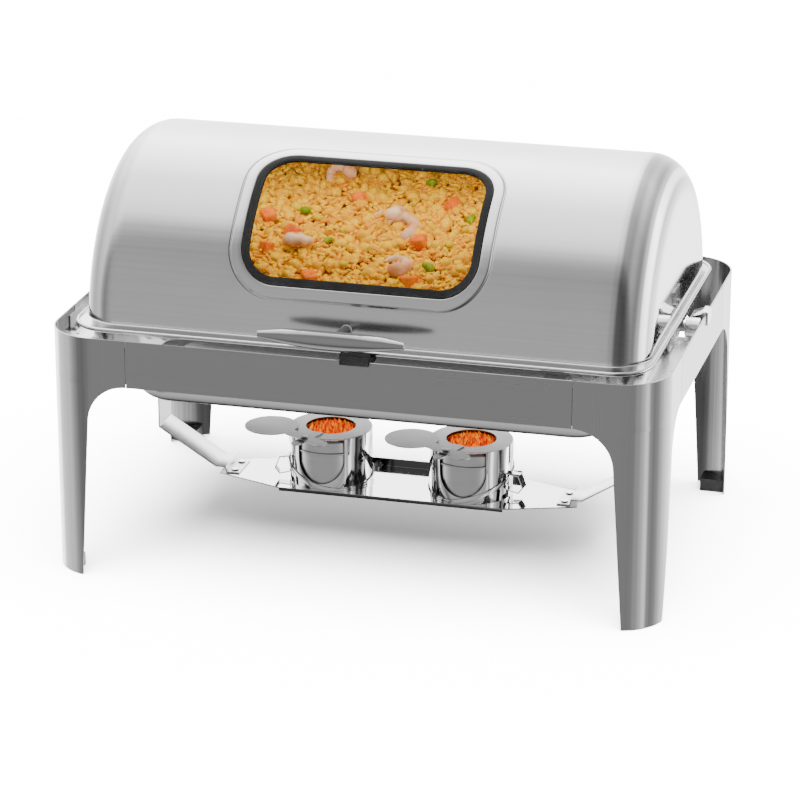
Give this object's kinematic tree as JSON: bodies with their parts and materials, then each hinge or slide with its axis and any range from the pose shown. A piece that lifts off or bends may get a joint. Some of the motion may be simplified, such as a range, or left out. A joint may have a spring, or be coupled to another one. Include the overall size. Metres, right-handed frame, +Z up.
{
  "type": "roll top chafer",
  "caption": "Rectangular buffet food warmer on a four legged stand, with a cylindrical roll back lid that has a window, a water pan, a food pan and a fuel tray.",
  "frame": {"origin": "on the floor under the middle of the object's box, handle included", "axes": "+X along the lid's roll axis to the right, +Y to the rear, +Z up"},
  "size_m": [0.6436, 0.4564, 0.427],
  "materials": {
    "leg_steel": "polished",
    "band_steel": "satin",
    "glide_plastic": "moulded",
    "inner_steel": "plain sheet",
    "carrier_steel": "polished",
    "black_rubber": "matt",
    "pan_steel": "polished",
    "food": "moist grains",
    "lid_steel": "brushed outside",
    "seal_rubber": "satin",
    "window_glass": "clear",
    "handle_steel": "satin",
    "fastener_steel": "bright",
    "hinge_steel": "polished",
    "dark_bracket": "dark",
    "tray_steel": "mirror",
    "cup_steel": "mirror",
    "plate_steel": "satin",
    "can_tin": "brushed",
    "fuel_gel": "translucent gel"
  },
  "bodies": {
    "stand": {"leg_front_left": "leg_steel", "leg_front_right": "leg_steel", "leg_rear_left": "leg_steel", "leg_rear_right": "leg_steel", "front_band": "band_steel", "rear_band": "band_steel", "left_band": "band_steel", "right_band": "band_steel", "glide_front_left": "glide_plastic", "glide_front_right": "glide_plastic", "glide_rear_left": "glide_plastic", "glide_rear_right": "glide_plastic", "seam_plates": "inner_steel", "seam_nuts": "inner_steel", "pan_cradle": "carrier_steel", "left_side_ledge": "carrier_steel", "right_side_ledge": "carrier_steel", "front_brackets": "inner_steel", "front_bumper": "black_rubber", "water_pan": "pan_steel", "food_pan": "pan_steel", "food_fill": "food", "left_hinge_bracket": "dark_bracket", "right_hinge_bracket": "dark_bracket", "left_hinge_barrel": "hinge_steel", "right_hinge_barrel": "hinge_steel", "left_band_clip": "hinge_steel", "right_band_clip": "hinge_steel", "fuel_tray": "tray_steel", "left_tray_strap": "tray_steel", "right_tray_strap": "tray_steel", "strap_rivets": "fastener_steel"},
    "lid": {"lid_shell": "lid_steel", "window_bezel": "lid_steel", "window_gasket": "seal_rubber", "window_glass": "window_glass", "lid_handle": "handle_steel", "handle_post": "handle_steel", "handle_screw": "fastener_steel", "left_lid_ear": "hinge_steel", "right_lid_ear": "hinge_steel", "left_hinge_pin": "fastener_steel", "right_hinge_pin": "fastener_steel"},
    "left_burner": {"left_fuel_cup": "cup_steel", "left_fuel_can": "can_tin", "left_fuel_gel": "fuel_gel", "left_ring_plate": "plate_steel", "left_damper_rivet": "fastener_steel", "left_cup_handle": "cup_steel"},
    "left_damper_body": {"left_damper": "plate_steel"},
    "right_burner": {"right_fuel_cup": "cup_steel", "right_fuel_can": "can_tin", "right_fuel_gel": "fuel_gel", "right_ring_plate": "plate_steel", "right_damper_rivet": "fastener_steel", "right_cup_handle": "cup_steel"},
    "right_damper_body": {"right_damper": "plate_steel"}
  },
  "joints": [
    {"name": "lid_roll", "type": "hinge", "parent": "stand", "child": "lid", "pos_m": [0, 0.01218, 0.251], "axis": [-1, 0, 0], "range_deg": [0, 75]},
    {"name": "left_burner_pull", "type": "slide", "parent": "stand", "child": "left_burner", "axis": [0, -1, 0], "range_m": [0, 0.09]},
    {"name": "left_damper_swing", "type": "hinge", "parent": "left_burner", "child": "left_damper_body", "pos_m": [-0.0925, -0.03582, 0.1098], "axis": [0, 0, -1], "range_deg": [0, 77]},
    {"name": "right_burner_pull", "type": "slide", "parent": "stand", "child": "right_burner", "axis": [0, -1, 0], "range_m": [0, 0.09]},
    {"name": "right_damper_swing", "type": "hinge", "parent": "right_burner", "child": "right_damper_body", "pos_m": [0.0615, -0.03582, 0.1098], "axis": [0, 0, -1], "range_deg": [0, 77]}
  ]
}
